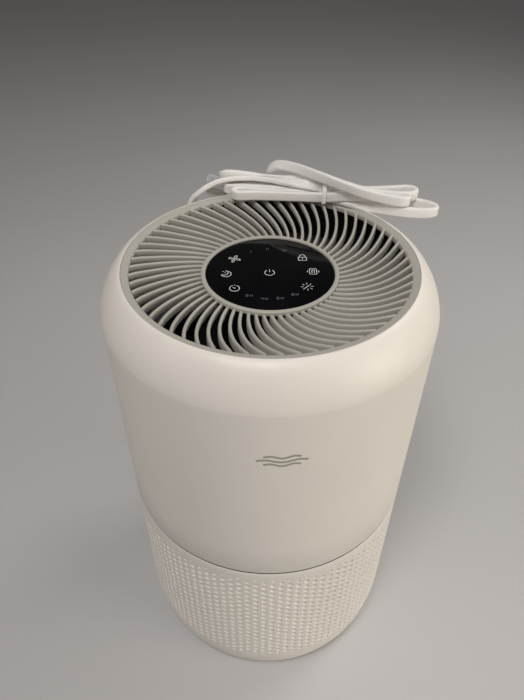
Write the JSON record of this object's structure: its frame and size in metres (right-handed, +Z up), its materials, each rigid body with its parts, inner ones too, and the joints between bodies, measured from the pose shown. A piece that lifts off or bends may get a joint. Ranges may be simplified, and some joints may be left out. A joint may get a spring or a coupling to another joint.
{
  "type": "air purifier",
  "caption": "Cylindrical tower air purifier with a vaned top outlet, touch panel, perforated lower shell, pull-out ring filter behind a turning base cover, and a tied mains cord.",
  "frame": {"origin": "centre of the round base, on the surface that the rubber feet stand on", "axes": "+Z up along the axis of the cylinder; -Y is the front, the side that the panel symbols are read from; the mains cord leaves at the back, +Y"},
  "size_m": [0.2339, 0.2783, 0.3824],
  "materials": {
    "shell": "warm white moulded plastic, fine satin",
    "grille": "warm grey moulded plastic, satin",
    "panel": "black polished cover glass look with light grey symbols",
    "guide": "white plastic",
    "inner": "black moulded plastic",
    "board": "green circuit board with solder mask",
    "steel": "zinc-plated steel",
    "blade": "bright nickel-washed brass",
    "rubber": "black rubber",
    "wire": "black wire sleeve",
    "cord": "soft white cord jacket",
    "tie": "white flat wire tie",
    "clear": "clear bluish plastic",
    "media": "white pleated fibre paper",
    "carbon": "black carbon granules in netting",
    "mesh": "dark fine nylon mesh",
    "cap": "dark grey cast filter end cap",
    "foam": "dark grey soft foam"
  },
  "bodies": {
    "root": {"upper_housing": "shell", "lower_housing": "shell", "outlet_grille": "grille", "control_panel": "panel", "light_guide": "guide", "mains_terminal": "guide", "seam_ring": "inner", "inlet_plate": "inner", "inlet_guard": "inner", "air_diffuser": "inner", "board_cover": "inner", "board_transformer": "inner", "board_capacitor": "inner", "touch_board": "board", "main_board": "board", "motor": "steel", "shaft_bearing": "steel", "motor_screw_1": "steel", "motor_screw_2": "steel", "motor_screw_3": "steel", "plate_screw_1": "steel", "plate_screw_2": "steel", "plate_screw_3": "steel", "plate_screw_4": "steel", "plug_blade_1": "blade", "plug_blade_2": "blade", "foot_1": "rubber", "foot_2": "rubber", "foot_3": "rubber", "foot_4": "rubber", "motor_grommet_1": "rubber", "motor_grommet_2": "rubber", "motor_grommet_3": "rubber", "panel_cable": "wire", "motor_lead": "wire", "cord_gland": "cord", "cord_tube": "cord", "cord_hank": "cord", "cord_tail": "cord", "plug_body": "cord", "inner_lead": "cord", "cord_tie": "tie", "blade_cover": "clear"},
    "impeller": {"impeller": "inner", "motor_shaft": "steel", "impeller_nut": "steel"},
    "filter": {"filter_top_cap": "cap", "filter_bottom_cap": "cap", "filter_media": "media", "carbon_layer": "carbon", "prefilter_mesh": "mesh", "filter_gasket": "foam", "filter_pull_tab": "media"},
    "filter_cover": {"filter_cover": "shell"}
  },
  "joints": [
    {"name": "impeller_spin", "type": "hinge", "parent": "root", "child": "impeller", "pos_m": [0, 0, 0.2], "axis": [0, 0, 1], "continuous": true},
    {"name": "filter_pull", "type": "slide", "parent": "root", "child": "filter", "axis": [0, 0, -1], "range_m": [0, 0.16]},
    {"name": "cover_turn", "type": "hinge", "parent": "filter", "child": "filter_cover", "pos_m": [0, 0, 0.005], "axis": [0, 0, 1], "range_deg": [0, 20]}
  ]
}
